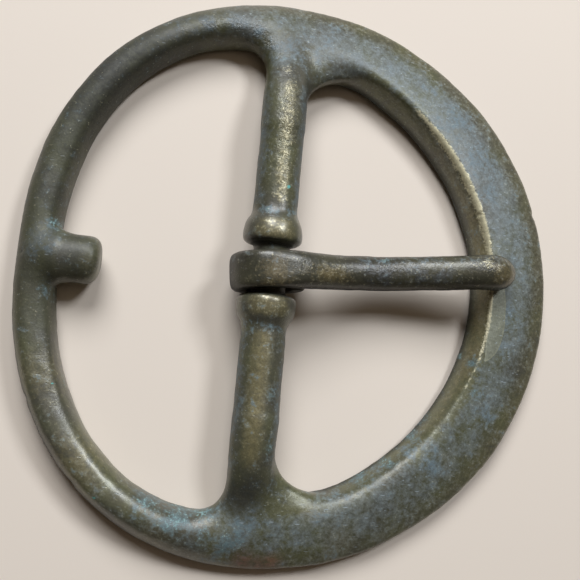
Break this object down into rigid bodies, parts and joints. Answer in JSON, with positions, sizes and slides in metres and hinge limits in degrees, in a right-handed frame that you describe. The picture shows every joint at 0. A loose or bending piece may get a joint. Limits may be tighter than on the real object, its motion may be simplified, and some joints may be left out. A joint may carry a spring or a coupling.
{
  "type": "strap buckle",
  "caption": "Oval cast brass strap buckle with a centre bar, a wide crescent side, a stud pointing inwards and a looped tongue that swings on the bar.",
  "frame": {"origin": "middle of the ring's outline, in the plane of its flat back", "axes": "+X points to the wide crescent that the tongue rests on, +Y runs along the centre bar, and +Z points away from the flat back"},
  "size_m": [0.0654, 0.0696, 0.0097],
  "materials": {
    "cast_brass": "tarnished casting with worn crests and verdigris",
    "wrought_brass": "tarnished strip, worn smooth"
  },
  "bodies": {
    "frame": {"frame": "cast_brass"},
    "tongue": {"tongue": "wrought_brass"}
  },
  "joints": [
    {"name": "tongue_swing", "type": "hinge", "parent": "frame", "child": "tongue", "pos_m": [-0.0032, 0, 0.005], "axis": [0, -1, 0], "range_deg": [0, 170]}
  ]
}
